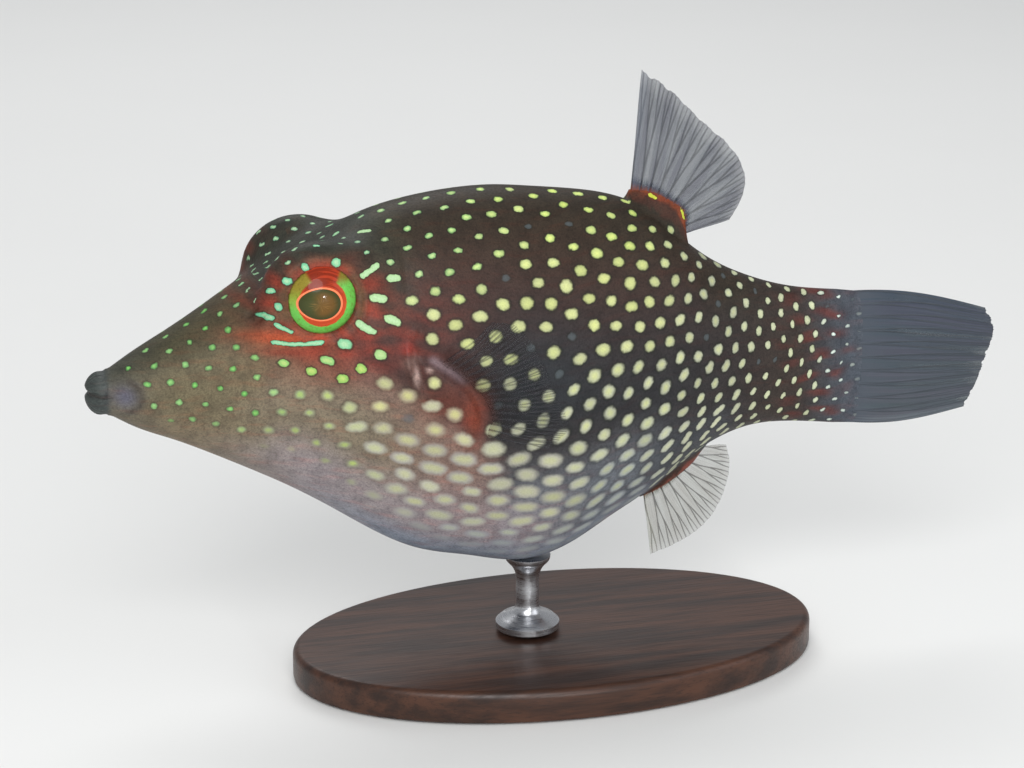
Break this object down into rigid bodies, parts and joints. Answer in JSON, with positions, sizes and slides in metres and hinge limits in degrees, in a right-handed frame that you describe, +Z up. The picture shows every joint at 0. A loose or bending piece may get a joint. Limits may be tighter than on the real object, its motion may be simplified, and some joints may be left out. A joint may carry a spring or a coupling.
{
  "type": "spotted puffer on a display stand",
  "caption": "Life-size still model of a small sharp-nosed spotted reef puffer, fins spread, held level by a slim rod on an oval plate.",
  "frame": {"origin": "middle of the fish's length, on the underside of the stand's plate", "axes": "+Z up; the head points to -X, the tail to +X, and the fish's left side faces -Y"},
  "size_m": [0.0862, 0.029, 0.056],
  "materials": {
    "spotted_skin": "dark skin with pale spots, satin",
    "face_skin": "brown skin with green spots, satin",
    "lip_skin": "satin",
    "eye": "clear and wet",
    "fin_root": "satin",
    "fin_membrane": "thin and translucent",
    "tail_membrane": "thin, darker rays",
    "stand_wood": "dark stain, satin varnish",
    "stand_steel": "brushed"
  },
  "bodies": {
    "root": {"head": "face_skin", "trunk": "spotted_skin", "tail_stem": "spotted_skin", "upper_lip": "lip_skin", "lower_lip": "lip_skin", "left_eye": "eye", "right_eye": "eye", "dorsal_fin_base": "fin_root", "dorsal_fin": "fin_membrane", "anal_fin_base": "fin_root", "anal_fin": "fin_membrane", "left_pectoral_fin_base": "fin_root", "left_pectoral_fin": "fin_membrane", "right_pectoral_fin_base": "fin_root", "right_pectoral_fin": "fin_membrane", "caudal_fin": "tail_membrane", "stand_base": "stand_wood", "stand_rod": "stand_steel"}
  },
  "joints": []
}
